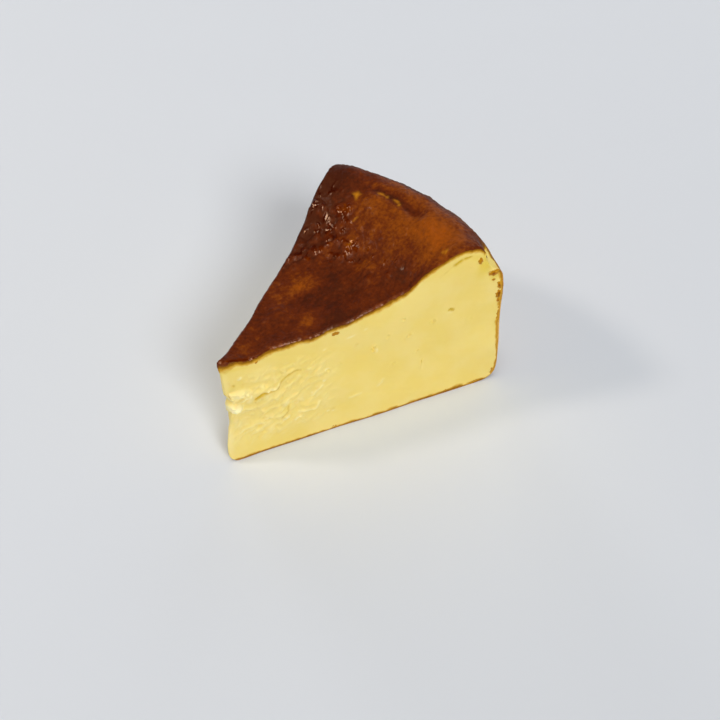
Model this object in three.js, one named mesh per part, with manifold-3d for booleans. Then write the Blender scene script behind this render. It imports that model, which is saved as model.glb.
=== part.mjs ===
// One slice, an eighth, of a basque cheesecake: a wedge of set cream cheese under a dark,
// wrinkled crust that has sunk in the middle of the cake and stands up in a ring near its wall.
// Millimetres, +Z up. The shape is worked out about the axis of the whole cake, with the middle
// of the slice along +X, and the finished slice is then centred over the origin.

import * as THREE from "three";
import Module from "manifold-3d";
import { mergeVertices } from "three/addons/utils/BufferGeometryUtils.js";

const TAU = 2 * Math.PI;

// ---------- driving dimensions ----------

const CAKE_RADIUS = 100.6;
const SLICES_IN_CAKE = 8;
const CRUST_HEIGHT = { tip: 47.2, dip: 45.6, crest: 64.0 };
const REAR_DROP = 2.2;
const FLAT_BASE_RADIUS = 91;
const TIP_SETBACK = 1.0;
const SHOULDER = { radius: 96.8, height: 58.5 };
const AXIS_TO_MIDDLE = 50.6;

const HALF_ANGLE = TAU / SLICES_IN_CAKE / 2;
const REAR_DEPTH = CAKE_RADIUS * Math.sin(2 * HALF_ANGLE);
const NOSE_BULGE = 0.6;

// Outlines of the front cut in a plane through the cake's axis, as [radius, height]. The crust
// is lower by REAR_DROP at the far end of its ring.
const CRUST_OUTLINE = [
  [TIP_SETBACK, CRUST_HEIGHT.tip],
  [6, 45.9],
  [14, CRUST_HEIGHT.dip],
  [26, 46.9],
  [40, 47.9],
  [51, 49.5],
  [60, 51.9],
  [66, 54.4],
  [72, 58.7],
  [79, 62.2],
  [86, CRUST_HEIGHT.crest],
  [91.5, 62.9],
  [SHOULDER.radius, SHOULDER.height],
];
const WALL_OUTLINE = [
  [FLAT_BASE_RADIUS, 0],
  [94.8, 0.4],
  [97.9, 2.4],
  [99.2, 6],
  [99.6, 14],
  [99.8, 24],
  [100.2, 34],
  [CAKE_RADIUS, 43],
  [100.3, 49],
  [99.2, 54],
  [SHOULDER.radius, SHOULDER.height],
];
const TIP_OUTLINE = [
  [3.2, 0],
  [1.6, 1.6],
  [0.7, 5],
  [0.7, 10],
  [1.6, 15],
  [2.1, 20],
  [3.1, 24],
  [3.3, 28],
  [2.4, 32],
  [1.9, 38],
  [1.6, 43],
  [TIP_SETBACK, CRUST_HEIGHT.tip],
];

// ---------- relief ----------

// Places on the crust are [x, y] from the cake's axis. Places on the front cut are
// [distance from the axis along the cut, height].
const CRUST_UNDULATION = { height: 0.55, shortest: 9, longest: 24, seed: 11 };
const WALL_UNDULATION = { height: 0.5, shortest: 12, longest: 34, seed: 23 };
const CUT_UNDULATION = { height: 0.35, shortest: 14, longest: 40, frontSeed: 31, rearSeed: 37 };
const RELIEF_DEPTH = { crust: 20, wall: 14, cut: 8 };
const REAR_HOLLOW = { depth: 1.4, radius: [58, 80], height: [22, 50] };

const BLISTERS = [
  { at: [62, 12], radius: 4.5, height: 1.1 },
  { at: [69, 23], radius: 4.5, height: 1.2 },
  { at: [60, 19], radius: 4.0, height: 0.9 },
  { at: [66, 4], radius: 3.5, height: 0.8 },
  { at: [67, -13], radius: 4.5, height: 1.0 },
  { at: [46, 1], radius: 5.0, height: 0.8 },
  { at: [40, -9], radius: 4.5, height: 0.7 },
  { at: [30, 4], radius: 4.0, height: 0.6 },
];
const CREASE = { radius: 84.5, halfWidth: 2.2, depth: 1.2, from: -0.16, to: 0.2 };
const SMEARS = [
  { at: [22, 17.5], length: 7, width: 2.4, slant: 0.9, height: 0.6 },
  { at: [29, 16.5], length: 8, width: 2.2, slant: -0.35, height: 0.5 },
  { at: [9, 14.8], length: 8, width: 2.2, slant: 0.2, height: 0.5 },
  { at: [15, 30.3], length: 8, width: 2.6, slant: 0.2, height: 0.7 },
  { at: [6, 30.5], length: 7, width: 3.0, slant: 0.1, height: 0.6 },
];
const CHIP = {
  centre: { radius: 86, height: 49.6 },
  roundness: 13.8,
  from: -0.1,
  to: 1.25,
  depth: 2.6,
  width: 6,
  reach: 7,
};

// ---------- details cut into the front or standing on it ----------

const CRACK_MIDDLE = [
  [11.2, 25.7],
  [13, 27.3],
  [15.5, 28.2],
  [18, 28.6],
  [20, 30.4],
  [22.5, 33],
  [25, 34],
  [27.6, 33.8],
];
const CRACK = { openWidth: 1.1, closedWidth: 0.3, openShare: 0.42, depth: 3, steps: 14 };
const PITS = [
  { at: [53.5, 32.5], size: [0.8, 1.6, 1.2] },
  { at: [81, 40.5], size: [1.1, 0.6, 0.9] },
];
const CURL = { at: [3.7, 25.3], size: [2.7, 1.8, 1.3], slant: -0.25 };

// ---------- fineness ----------

const STEPS_ALONG_RADIUS = 46;
const STEPS_UP = 22;
const ARC_STEP = 2.6;
const TIP_FINENESS = 0.68;

const CHEESECAKE = new THREE.MeshStandardMaterial({
  name: "cheesecake",
  color: 0xe6d07a,
  roughness: 0.55,
  metalness: 0,
});

// ---------- small helpers ----------

const { lerp, smoothstep } = THREE.MathUtils;
const fade = (distance, reach) => 1 - smoothstep(distance, 0, reach);

// A walk along a smooth curve through the points: a share of 0 to 1 of its length to a place.
function walkThrough(points) {
  const curve = new THREE.SplineCurve(points.map(([a, b]) => new THREE.Vector2(a, b)));
  curve.arcLengthDivisions = 400;
  return (share) => curve.getPointAt(share);
}

// Seeded random numbers from 0 to 1.
function randomFrom(seed) {
  let state = seed;
  return () => {
    state = (state * 1664525 + 1013904223) % 4294967296;
    return state / 4294967296;
  };
}

// A gentle random surface of height about 1: crossing waves of seeded length and heading.
function undulation(seed, shortest, longest) {
  const count = 12;
  const random = randomFrom(seed);
  const waves = [];
  for (let i = 0; i < count; i += 1) {
    const pitch = TAU / lerp(shortest, longest, random());
    const heading = TAU * random();
    const phase = TAU * random();
    waves.push({ a: pitch * Math.cos(heading), b: pitch * Math.sin(heading), phase });
  }
  return (a, b) => {
    let sum = 0;
    for (const wave of waves) {
      sum += Math.sin(wave.a * a + wave.b * b + wave.phase);
    }
    return sum / Math.sqrt(count);
  };
}

// ---------- the slice's outlines ----------

const alongCrust = walkThrough(CRUST_OUTLINE);
const upWall = walkThrough(WALL_OUTLINE);
const upTip = walkThrough(TIP_OUTLINE);

// Shares along the radius, closer together near the tip, where the cut is roughest.
function radiusShare(step) {
  const share = step / STEPS_ALONG_RADIUS;
  return TIP_FINENESS * share + (1 - TIP_FINENESS) * share * share;
}

// A place on a cut face, filled in smoothly between the tip, wall, base and crust outlines.
function cutPlace(u, w) {
  const tip = upTip(w);
  const wall = upWall(w);
  const crust = alongCrust(u);
  const corners = [upTip(0), upWall(0), upTip(1), upWall(1)];
  const blend = (key) => {
    const base = lerp(corners[0][key], corners[1][key], u);
    const corner = lerp(base, lerp(corners[2][key], corners[3][key], u), w);
    return lerp(base, crust[key], w) + lerp(tip[key], wall[key], u) - corner;
  };
  return { radius: blend("x"), height: blend("y") };
}

function placeAt(radius, height, angle) {
  return new THREE.Vector3(radius * Math.cos(angle), radius * Math.sin(angle), height);
}

// ---------- relief at a place on the slice ----------

const crustWaves = undulation(
  CRUST_UNDULATION.seed, CRUST_UNDULATION.shortest, CRUST_UNDULATION.longest);
const wallWaves = undulation(
  WALL_UNDULATION.seed, WALL_UNDULATION.shortest, WALL_UNDULATION.longest);
const frontWaves = undulation(
  CUT_UNDULATION.frontSeed, CUT_UNDULATION.shortest, CUT_UNDULATION.longest);
const rearWaves = undulation(
  CUT_UNDULATION.rearSeed, CUT_UNDULATION.shortest, CUT_UNDULATION.longest);

// How far the crust stands above its outline.
function crustRise(x, y) {
  let rise = CRUST_UNDULATION.height * crustWaves(x, y);
  for (const blister of BLISTERS) {
    const distance = Math.hypot(x - blister.at[0], y - blister.at[1]);
    rise += blister.height * fade(distance, blister.radius);
  }
  const angle = Math.atan2(y, x);
  const off = (Math.hypot(x, y) - CREASE.radius) / CREASE.halfWidth;
  const inside = smoothstep(angle, CREASE.from, CREASE.from + 0.08)
    * (1 - smoothstep(angle, CREASE.to - 0.08, CREASE.to));
  return rise - CREASE.depth * Math.exp(-off * off) * inside;
}

// How far the front cut stands out of its plane.
function frontSwell(along, height) {
  let swell = CUT_UNDULATION.height * frontWaves(along, height);
  for (const smear of SMEARS) {
    const a = along - smear.at[0];
    const b = height - smear.at[1];
    const cos = Math.cos(smear.slant);
    const sin = Math.sin(smear.slant);
    const lengthwise = (a * cos + b * sin) / (smear.length / 2);
    const crosswise = (b * cos - a * sin) / (smear.width / 2);
    swell += smear.height * fade(Math.hypot(lengthwise, crosswise), 1.5);
  }
  return swell;
}

// How far the rear cut stands out of its plane: it is drawn in under the crest of the crust.
function rearSwell(along, height) {
  const inward = smoothstep(along, ...REAR_HOLLOW.radius)
    * smoothstep(height, ...REAR_HOLLOW.height);
  return CUT_UNDULATION.height * rearWaves(along, height) - REAR_HOLLOW.depth * inward;
}

const FRONT_OUT = new THREE.Vector3(-Math.sin(HALF_ANGLE), -Math.cos(HALF_ANGLE), 0);
const REAR_OUT = new THREE.Vector3(-Math.sin(HALF_ANGLE), Math.cos(HALF_ANGLE), 0);

// How much of the shoulder's front corner has broken away at a place.
function chipped(radius, height, depth) {
  const a = radius - CHIP.centre.radius;
  const b = height - CHIP.centre.height;
  const turn = (Math.atan2(b, a) - CHIP.from) / (CHIP.to - CHIP.from);
  if (turn <= 0 || turn >= 1) {
    return 0;
  }
  const below = Math.max(0, CHIP.roundness - Math.hypot(a, b));
  const along = Math.sin(Math.PI * turn) ** 2;
  return CHIP.depth * along * fade(depth, CHIP.width) * fade(below, CHIP.reach);
}

// Moves a place on the plain slice to where the uneven surface is.
function withRelief(place) {
  const radius = Math.hypot(place.x, place.y);
  const angle = Math.atan2(place.y, place.x);
  const outward = new THREE.Vector3(Math.cos(angle), Math.sin(angle), 0);
  const frontDepth = Math.max(0, -place.dot(FRONT_OUT));
  const rearDepth = Math.max(0, -place.dot(REAR_OUT));
  const clearOfTip = smoothstep(radius, 0.5, 5);

  const share = Math.min(1, radius / SHOULDER.radius);
  const underCrust = Math.max(0, alongCrust(share).y - place.z);
  const nearCrust = fade(underCrust, RELIEF_DEPTH.crust);
  const onTop = nearCrust * fade(radius - FLAT_BASE_RADIUS, 9);
  const drop = REAR_DROP * frontDepth / REAR_DEPTH;
  const nearWall = fade(CAKE_RADIUS - radius, RELIEF_DEPTH.wall)
    * smoothstep(place.z, 0, 6) * smoothstep(frontDepth, 0, 12);
  const chip = chipped(radius, place.z, frontDepth);

  const moved = place.clone();
  moved.z += onTop * crustRise(place.x, place.y) - nearCrust * drop - chip * Math.SQRT1_2;
  moved.addScaledVector(
    outward, nearWall * WALL_UNDULATION.height * wallWaves(angle * CAKE_RADIUS, place.z));
  moved.addScaledVector(outward, -chip * Math.SQRT1_2);
  moved.addScaledVector(
    FRONT_OUT, clearOfTip * fade(frontDepth, RELIEF_DEPTH.cut) * frontSwell(radius, place.z));
  moved.addScaledVector(
    REAR_OUT, clearOfTip * fade(rearDepth, RELIEF_DEPTH.cut) * rearSwell(radius, place.z));
  return moved;
}

// ---------- the slice as one closed mesh ----------

function sliceGeometry() {
  const positions = [];
  const faces = [];

  const add = (radius, height, angle) => {
    const place = withRelief(placeAt(radius, height, angle));
    positions.push(place.x, place.y, place.z);
    return positions.length / 3 - 1;
  };
  const quad = (a, b, c, d) => faces.push(a, b, c, a, c, d);

  // The two cut faces, as columns of places from the tip to the wall.
  const cut = (angle) => {
    const columns = [];
    for (let i = 0; i <= STEPS_ALONG_RADIUS; i += 1) {
      const column = [];
      for (let j = 0; j <= STEPS_UP; j += 1) {
        const { radius, height } = cutPlace(radiusShare(i), j / STEPS_UP);
        column.push(add(radius, height, angle));
      }
      columns.push(column);
    }
    return columns;
  };
  const front = cut(-HALF_ANGLE);
  const rear = cut(HALF_ANGLE);
  for (let i = 0; i < STEPS_ALONG_RADIUS; i += 1) {
    for (let j = 0; j < STEPS_UP; j += 1) {
      quad(front[i][j], front[i + 1][j], front[i + 1][j + 1], front[i][j + 1]);
      quad(rear[i][j], rear[i][j + 1], rear[i + 1][j + 1], rear[i + 1][j]);
    }
  }

  // The blunt edge at the tip.
  const nose = [];
  for (let j = 0; j <= STEPS_UP; j += 1) {
    const { x: setback, y: height } = upTip(j / STEPS_UP);
    const reach = Math.cos(HALF_ANGLE) - NOSE_BULGE * Math.sin(HALF_ANGLE);
    nose.push(add(setback * reach, height, 0));
  }
  for (let j = 0; j < STEPS_UP; j += 1) {
    quad(rear[0][j], nose[j], nose[j + 1], rear[0][j + 1]);
    quad(nose[j], front[0][j], front[0][j + 1], nose[j + 1]);
  }

  // The crust and wall, as rows that run from the front cut to the rear one.
  const rowBetween = (first, last, radius, height) => {
    const arc = 2 * HALF_ANGLE * radius;
    const count = Math.max(2, Math.round(arc / ARC_STEP));
    const row = [first];
    for (let k = 1; k < count; k += 1) {
      row.push(add(radius, height, lerp(-HALF_ANGLE, HALF_ANGLE, k / count)));
    }
    row.push(last);
    return row;
  };
  const rows = [[front[0][STEPS_UP], nose[STEPS_UP], rear[0][STEPS_UP]]];
  for (let i = 1; i <= STEPS_ALONG_RADIUS; i += 1) {
    const { x: radius, y: height } = alongCrust(radiusShare(i));
    rows.push(rowBetween(front[i][STEPS_UP], rear[i][STEPS_UP], radius, height));
  }
  for (let j = STEPS_UP - 1; j >= 0; j -= 1) {
    const { x: radius, y: height } = upWall(j / STEPS_UP);
    const last = STEPS_ALONG_RADIUS;
    rows.push(rowBetween(front[last][j], rear[last][j], radius, height));
  }
  for (let i = 0; i + 1 < rows.length; i += 1) {
    stitch(faces, rows[i], rows[i + 1]);
  }

  // The flat base, as one outline cut into triangles.
  const outline = [nose[0]];
  for (const column of front) {
    outline.push(column[0]);
  }
  outline.push(...rows[rows.length - 1].slice(1, -1));
  for (const column of rear.slice().reverse()) {
    outline.push(column[0]);
  }
  const flat = outline.map((v) => new THREE.Vector2(positions[3 * v], positions[3 * v + 1]));
  for (const [a, b, c] of THREE.ShapeUtils.triangulateShape(flat, [])) {
    const turn = flat[b].clone().sub(flat[a]).cross(flat[c].clone().sub(flat[a]));
    faces.push(outline[a], ...(turn > 0 ? [outline[c], outline[b]] : [outline[b], outline[c]]));
  }

  const geometry = new THREE.BufferGeometry();
  geometry.setAttribute("position", new THREE.Float32BufferAttribute(positions, 3));
  geometry.setIndex(faces);
  return geometry;
}

// Joins two rows of unequal count with triangles, always stepping on the row that is behind.
function stitch(faces, inner, outer) {
  let a = 0;
  let b = 0;
  while (a < inner.length - 1 || b < outer.length - 1) {
    const nextInner = (a + 1) / (inner.length - 1);
    const nextOuter = (b + 1) / (outer.length - 1);
    if (nextOuter <= nextInner) {
      faces.push(inner[a], outer[b], outer[b + 1]);
      b += 1;
    } else {
      faces.push(inner[a], outer[b], inner[a + 1]);
      a += 1;
    }
  }
}

// ---------- crack, pits and curl ----------

// Turns a geometry that is drawn on the front cut, with x along it, y up and z out of it.
function ontoFront(geometry, along, height) {
  const sideways = new THREE.Vector3(Math.cos(HALF_ANGLE), -Math.sin(HALF_ANGLE), 0);
  const turn = new THREE.Matrix4().makeBasis(sideways, new THREE.Vector3(0, 0, 1), FRONT_OUT);
  geometry.applyMatrix4(turn);
  geometry.translate(sideways.x * along, sideways.y * along, height);
  return geometry;
}

// A blade-shaped plug, wide at the open end of the crack and fine at its far end.
function crackPlug() {
  const middle = walkThrough(CRACK_MIDDLE);
  const upper = [];
  const lower = [];
  for (let i = 0; i <= CRACK.steps; i += 1) {
    const share = i / CRACK.steps;
    const before = middle(Math.max(0, share - 0.01));
    const after = middle(Math.min(1, share + 0.01));
    const across = after.sub(before).normalize();
    const open = lerp(CRACK.closedWidth, CRACK.openWidth, fade(share, CRACK.openShare * 2));
    const width = open * Math.min(1, 0.25 + 8 * share, 0.25 + 8 * (1 - share));
    const at = middle(share);
    upper.push(new THREE.Vector2(at.x - across.y * width / 2, at.y + across.x * width / 2));
    lower.push(new THREE.Vector2(at.x + across.y * width / 2, at.y - across.x * width / 2));
  }
  const shape = new THREE.Shape([...lower, ...upper.reverse()]);
  const plug = new THREE.ExtrudeGeometry(shape, { depth: 2 * CRACK.depth, bevelEnabled: false });
  plug.translate(0, 0, -CRACK.depth);
  return ontoFront(plug, 0, 0);
}

function roundLump(at, size, slant) {
  const lump = new THREE.SphereGeometry(1, 14, 10);
  lump.scale(...size);
  lump.rotateZ(slant);
  return ontoFront(lump, at[0], at[1]);
}

// ---------- joining ----------

const wasm = await Module();
wasm.setup();

function solid(geometry) {
  geometry.deleteAttribute("normal");
  geometry.deleteAttribute("uv");
  const merged = mergeVertices(geometry, 1e-4);
  return new wasm.Manifold(new wasm.Mesh({
    numProp: 3,
    vertProperties: new Float32Array(merged.attributes.position.array),
    triVerts: new Uint32Array(merged.index.array),
  }));
}

function geometryOf(manifold) {
  const mesh = manifold.getMesh();
  const geometry = new THREE.BufferGeometry();
  geometry.setAttribute("position", new THREE.BufferAttribute(mesh.vertProperties, 3));
  geometry.setIndex(new THREE.BufferAttribute(mesh.triVerts, 1));
  geometry.computeVertexNormals();
  return geometry;
}

function slice() {
  let body = solid(sliceGeometry());
  body = body.add(solid(roundLump(CURL.at, CURL.size, CURL.slant)));
  body = body.subtract(solid(crackPlug()));
  for (const pit of PITS) {
    body = body.subtract(solid(roundLump(pit.at, pit.size, 0)));
  }
  const mesh = new THREE.Mesh(geometryOf(body), CHEESECAKE);
  mesh.name = "cheesecake_slice";
  mesh.position.x = -AXIS_TO_MIDDLE;
  return mesh;
}

const cheesecake = new THREE.Group();
cheesecake.add(slice());

export default cheesecake;
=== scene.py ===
"""A slice of basque cheesecake: a finely modelled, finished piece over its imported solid.

The slice is worked out in millimetres about the axis of the whole cake, with its middle along
+X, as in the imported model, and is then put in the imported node's place in metres. One closed
mesh carries the cut faces, the crust, the wall and the base. Its relief is geometry, and what
each place is made of goes to the material as attributes of its vertices.
"""

import math

import bpy
import numpy as np
from mathutils import Matrix, Vector


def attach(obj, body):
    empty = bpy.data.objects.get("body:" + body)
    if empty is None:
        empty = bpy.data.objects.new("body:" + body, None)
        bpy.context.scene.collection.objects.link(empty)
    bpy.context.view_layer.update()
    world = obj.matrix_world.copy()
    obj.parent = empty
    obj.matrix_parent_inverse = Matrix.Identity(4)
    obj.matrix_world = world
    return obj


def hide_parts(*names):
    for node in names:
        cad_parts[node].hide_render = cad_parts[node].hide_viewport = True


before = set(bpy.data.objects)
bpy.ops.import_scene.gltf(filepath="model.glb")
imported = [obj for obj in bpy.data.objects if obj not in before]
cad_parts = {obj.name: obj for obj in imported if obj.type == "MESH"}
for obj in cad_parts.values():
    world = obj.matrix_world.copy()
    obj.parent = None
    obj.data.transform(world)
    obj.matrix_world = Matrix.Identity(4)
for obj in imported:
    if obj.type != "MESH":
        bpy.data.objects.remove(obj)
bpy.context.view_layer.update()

NODE = "cheesecake_slice"
MM = 0.001
TAU = 2 * math.pi

# ---------- driving dimensions, in mm

CAKE_RADIUS = 100.6
HALF_ANGLE = TAU / 8 / 2
TIP_HEIGHT, DIP_HEIGHT, CREST_HEIGHT = 47.2, 45.6, 64.0
REAR_DROP = 2.2  # how much lower the crust's edge is at the rear cut
REAR_DEPTH = CAKE_RADIUS * math.sin(2 * HALF_ANGLE)
FLAT_BASE_RADIUS = 91
TIP_SETBACK = 1.0
SHOULDER = (96.8, 58.5)
AXIS_TO_MIDDLE = 50.6  # from the cake's axis to the middle of the slice's box

# Outlines in a plane through the cake's axis, as (radius, height).
CRUST_OUTLINE = [
    (TIP_SETBACK, TIP_HEIGHT), (6, 45.9), (14, DIP_HEIGHT), (26, 46.9), (40, 47.9),
    (51, 49.5), (60, 51.9), (66, 54.4), (72, 58.7), (79, 62.2), (86, CREST_HEIGHT),
    (91.5, 62.9), SHOULDER,
]
WALL_OUTLINE = [
    (FLAT_BASE_RADIUS, 0), (94.8, 0.4), (97.9, 2.4), (99.2, 6), (99.6, 14), (99.8, 24),
    (100.2, 34), (CAKE_RADIUS, 43), (100.3, 49), (99.2, 54), SHOULDER,
]
TIP_OUTLINE = [
    (3.2, 0), (1.6, 1.6), (0.7, 5), (0.7, 10), (1.6, 15), (2.1, 20), (3.1, 24), (3.3, 28),
    (2.4, 32), (1.9, 38), (1.6, 43), (TIP_SETBACK, TIP_HEIGHT),
]

# ---------- fineness of the mesh

RADIUS_STEPS = [  # share of the way from the tip to the wall, step of the mesh there
    (0, 0.003), (0.32, 0.003), (0.38, 0.006), (0.55, 0.006), (0.6, 0.0044), (0.76, 0.0044),
    (0.8, 0.006), (0.9, 0.006), (0.94, 0.0038), (1, 0.0038),
]
HEIGHT_STEPS = [  # share of the height, step of the mesh there
    (0, 0.0081), (0.94, 0.0081), (0.97, 0.0053), (1, 0.0053),
]
STEPS_ROUND_NOSE = 6
CRUST_STEP, WALL_STEP = 0.44, 0.75
EDGE_SHARES = (0.25, 0.5)

# ---------- small helpers


def lerp(a, b, share):
    return a + (b - a) * share


def smoothstep(value, low, high):
    """0 below low, 1 above high and smooth between, also with low above high."""
    share = np.clip((value - low) / (high - low), 0, 1)
    return share * share * (3 - 2 * share)


def fade(distance, reach):
    """1 at no distance, and 0 from reach on."""
    return 1 - smoothstep(distance, 0, reach)


def bell(off):
    """1 at 0, and falling smoothly to nearly 0 at 2."""
    return np.exp(-off ** 2)


def walk_through(points, pieces=60):
    """A smooth curve through points, as a function from shares of its length to places."""
    ends = np.array([points[0], *points, points[-1]], float)
    t = np.linspace(0, 1, pieces, endpoint=False)[:, None]
    run = []
    for i in range(len(points) - 1):
        p0, p1, p2, p3 = ends[i:i + 4]
        v1, v2 = (p2 - p0) / 2, (p3 - p1) / 2
        run.append((2 * p1 - 2 * p2 + v1 + v2) * t ** 3
                   + (3 * p2 - 3 * p1 - 2 * v1 - v2) * t ** 2 + v1 * t + p1)
    run = np.vstack([*run, ends[-1:]])
    length = np.concatenate([[0], np.cumsum(np.hypot(*np.diff(run, axis=0).T))])
    length /= length[-1]
    return lambda share: (np.interp(share, length, run[:, 0]),
                          np.interp(share, length, run[:, 1]))


def undulation(seed, shortest, longest, count=12):
    """A gentle random surface of height about 1: crossing waves of seeded length and heading."""
    state, draws = seed, []
    for _ in range(3 * count):
        state = (state * 1664525 + 1013904223) % 4294967296
        draws.append(state / 4294967296)
    waves = [(TAU / lerp(shortest, longest, draws[i]), TAU * draws[i + 1], TAU * draws[i + 2])
             for i in range(0, len(draws), 3)]

    def surface(a, b):
        total = 0
        for pitch, heading, phase in waves:
            total = total + np.sin(
                pitch * math.cos(heading) * a + pitch * math.sin(heading) * b + phase)
        return total / math.sqrt(count)

    return surface


def lattice(ix, iy, seed):
    """A random number from -1 to 1 for each whole place."""
    mixed = (ix.astype(np.int64) * 374761393 + iy.astype(np.int64) * 668265263
             + seed * 1274126177) & 0xFFFFFFFF
    mixed = ((mixed ^ (mixed >> 13)) * 1274126177) & 0xFFFFFFFF
    mixed = (mixed ^ (mixed >> 16)) & 0xFFFF
    return mixed / 32767.5 - 1


def turned(a, b, slant, at=(0, 0)):
    """Places as seen from at, along and across a slant."""
    cos, sin = math.cos(slant), math.sin(slant)
    a, b = a - at[0], b - at[1]
    return a * cos + b * sin, b * cos - a * sin


def off_oval(a, b, at, size, slant):
    """How far places are from an oval's middle, with 1 at its edge."""
    along, across = turned(a, b, slant, at)
    return np.hypot(along / size[0], across / size[1])


def grain(a, b, size, seed):
    """Smooth random numbers of about -1 to 1 over a plane, with lumps of a given size."""
    a, b = np.asarray(a) / size, np.asarray(b) / size
    ia, ib = np.floor(a), np.floor(b)
    sa, sb = (f * f * f * (f * (6 * f - 15) + 10) for f in (a - ia, b - ib))
    low = lerp(lattice(ia, ib, seed), lattice(ia + 1, ib, seed), sa)
    high = lerp(lattice(ia, ib + 1, seed), lattice(ia + 1, ib + 1, seed), sa)
    return lerp(low, high, sb)


def grains(a, b, size, seed, octaves=3):
    """Grain of several sizes, each half as large and half as strong."""
    total, strength = 0, 1
    for octave in range(octaves):
        places = turned(a, b, -octave)
        total = total + strength * grain(*places, size / 2 ** octave, seed + octave)
        strength /= 2
    return total / (2 - 2 * strength)


def bent(a, b, reach, size, seeds, octaves=1):
    """Places shifted by random amounts, so that what is drawn there is bent or ragged."""
    return (a + reach * grains(a, b, size, seeds[0], octaves),
            b + reach * grains(a, b, size, seeds[1], octaves))


# ---------- the plain slice

along_crust = walk_through(CRUST_OUTLINE)
up_wall = walk_through(WALL_OUTLINE)
up_tip = walk_through(TIP_OUTLINE)


def crust_height(radius):
    return np.interp(radius, *along_crust(np.linspace(0, 1, 800)))


def wall_radius(height):
    outline_radius, outline_height = up_wall(np.linspace(0, 1, 800))
    return np.interp(height, outline_height, outline_radius)


def uneven_shares(steps):
    """Shares from 0 to 1, as far apart at each place as the table of steps has it."""
    share = np.linspace(0, 1, 4001)
    places, step = zip(*steps)
    passed = np.cumsum(1 / np.interp(share, places, step))
    passed = (passed - passed[0]) * (share[1] - share[0])
    return np.interp(np.linspace(0, passed[-1], round(passed[-1]) + 1), passed, share)


def cut_places(u, w):
    """Radius and height on a cut face, filled in between its four outlines."""
    places = []
    for i in range(2):
        tip, wall, crust = up_tip(w)[i], up_wall(w)[i], along_crust(u)[i]
        base = lerp(up_tip(0)[i], up_wall(0)[i], u)
        corner = lerp(base, lerp(up_tip(1)[i], up_wall(1)[i], u), w)
        places.append(lerp(base, crust, w) + lerp(tip, wall, u) - corner)
    return places


# ---------- large relief, as in the solid

BLISTERS = [  # place, radius, height
    ((62, 12), 4.5, 1.1), ((69, 23), 4.5, 1.2), ((60, 19), 4, 0.9), ((66, 4), 3.5, 0.8),
    ((67, -13), 4.5, 1), ((46, 1), 5, 0.8), ((40, -9), 4.5, 0.7), ((30, 4), 4, 0.6),
]
CREASE_RADIUS, CREASE_HALF_WIDTH, CREASE_DEPTH = 84.5, 2.2, 1.2
CREASE_ANGLES = (-0.16, 0.2)
SMEARS = [  # place on the front cut, half sizes, slant, height
    ((22, 17.5), (3.5, 1.2), 0.9, 0.6), ((29, 16.5), (4, 1.1), -0.35, 0.5),
    ((9, 14.8), (4, 1.1), 0.2, 0.5), ((15, 30.3), (4, 1.3), 0.2, 0.7),
    ((6, 30.5), (3.5, 1.5), 0.1, 0.6),
]
CHIP_CENTRE, CHIP_ROUNDNESS = (86, 49.6), 13.8  # about the rounding of the shoulder
CHIP_TURN = (-0.1, 1.14)  # the part of that rounding that is chipped, in radians
CHIP_DEPTH, CHIP_WIDTH, CHIP_REACH = 3.4, 12, 7
CRUST_WAVES, WALL_WAVES, CUT_WAVES = 0.55, 0.5, 0.35  # heights of gentle waves
REAR_DRAWN_IN = 1.4  # how far the rear cut is drawn in below the shoulder

crust_waves = undulation(11, 9, 24)
wall_waves = undulation(23, 12, 34)
front_waves = undulation(31, 14, 40)
rear_waves = undulation(37, 14, 40)


def crease_window(angle):
    low, high = CREASE_ANGLES
    return smoothstep(angle, low, low + 0.08) * smoothstep(angle, high, high - 0.08)


def crust_rise(x, y):
    rise = CRUST_WAVES * crust_waves(x, y)
    for at, radius, height in BLISTERS:
        rise = rise + 0.4 * height * fade(np.hypot(x - at[0], y - at[1]), radius)
    off = (np.hypot(x, y) - CREASE_RADIUS) / CREASE_HALF_WIDTH
    return rise - CREASE_DEPTH * bell(off) * crease_window(np.arctan2(y, x))


def front_swell(along, height):
    swell = CUT_WAVES * front_waves(along, height) * lerp(0.3, 1, smoothstep(height, 0, 14))
    for at, size, slant, rise in SMEARS:
        swell = swell + rise * fade(off_oval(along, height, at, size, slant), 1.5)
    return swell


def rear_swell(along, height):
    drawn_in = smoothstep(along, 58, 80) * smoothstep(height, 22, 50)
    return CUT_WAVES * rear_waves(along, height) - REAR_DRAWN_IN * drawn_in


def chipped(radius, height, depth):
    """How much of the shoulder's front corner has broken away."""
    a, b = radius - CHIP_CENTRE[0], height - CHIP_CENTRE[1]
    turn = (np.arctan2(b, a) - CHIP_TURN[0]) / (CHIP_TURN[1] - CHIP_TURN[0])
    below = np.maximum(0, CHIP_ROUNDNESS - np.hypot(a, b))
    along = np.sin(math.pi * np.clip(turn, 0, 1)) ** 2
    return CHIP_DEPTH * along * fade(depth, CHIP_WIDTH) * fade(below, CHIP_REACH)


# ---------- fine relief

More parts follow.
